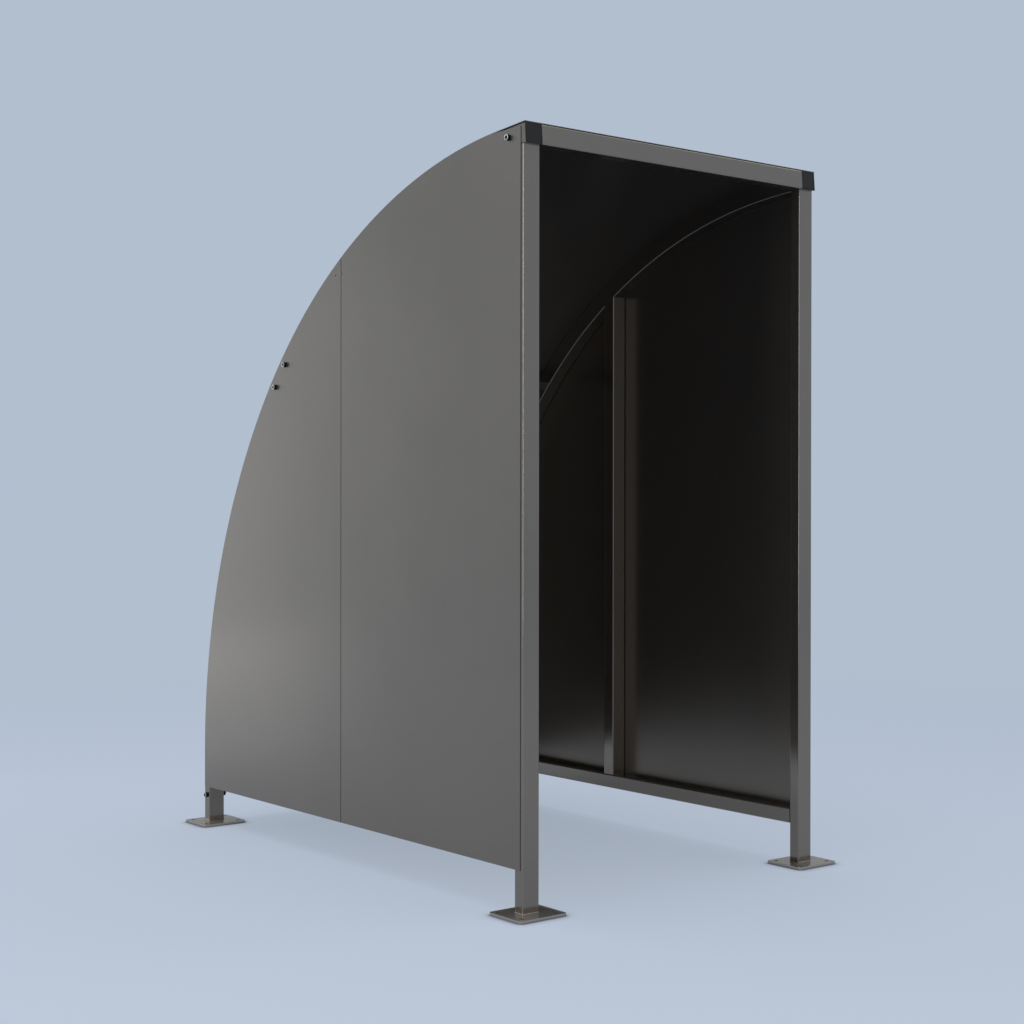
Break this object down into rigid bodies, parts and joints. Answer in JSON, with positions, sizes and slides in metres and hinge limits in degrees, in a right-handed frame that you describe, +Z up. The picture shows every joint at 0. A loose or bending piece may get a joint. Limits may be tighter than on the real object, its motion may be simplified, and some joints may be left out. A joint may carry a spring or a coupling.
{
  "type": "bicycle shelter",
  "caption": "Small steel bicycle shelter, open at the front, with flat side walls and a curved sheet that is both roof and back, on base plates.",
  "frame": {"origin": "on the floor, midway between the four base plates", "axes": "+X to the right along the open front seen from outside, +Y from the open front to the back, +Z up"},
  "size_m": [1.338, 1.975, 2.262],
  "materials": {
    "frame_paint": "fine-textured powder coat, dark metallic grey, satin",
    "sheet_paint": "fine-textured powder coat, dark metallic grey, semi-gloss on flat sheet",
    "cap_plastic": "black, slightly textured",
    "bolt_steel": "bright stainless"
  },
  "bodies": {
    "root": {"base_plate_front_left": "frame_paint", "base_plate_front_right": "frame_paint", "base_plate_rear_left": "frame_paint", "base_plate_rear_right": "frame_paint", "front_post_left": "frame_paint", "front_post_right": "frame_paint", "rear_leg_left": "frame_paint", "rear_leg_right": "frame_paint", "leg_head_left": "frame_paint", "leg_head_right": "frame_paint", "arch_tube_left": "frame_paint", "arch_tube_right": "frame_paint", "end_cap_left": "cap_plastic", "end_cap_right": "cap_plastic", "front_beam": "frame_paint", "cross_rail": "frame_paint", "rear_bottom_rail": "frame_paint", "bottom_rail_left": "frame_paint", "bottom_rail_right": "frame_paint", "mid_post_left": "frame_paint", "mid_post_right": "frame_paint", "side_panel_front_left": "sheet_paint", "side_panel_front_right": "sheet_paint", "side_panel_rear_left": "sheet_paint", "side_panel_rear_right": "sheet_paint", "roof_sheet_front": "sheet_paint", "roof_sheet_rear": "sheet_paint", "beam_screw_left": "bolt_steel", "beam_screw_right": "bolt_steel", "rail_screws_left": "bolt_steel", "rail_screws_right": "bolt_steel", "leg_bolt_left": "bolt_steel", "leg_bolt_right": "bolt_steel", "seam_screws_left": "frame_paint", "seam_screws_right": "frame_paint"}
  },
  "joints": []
}
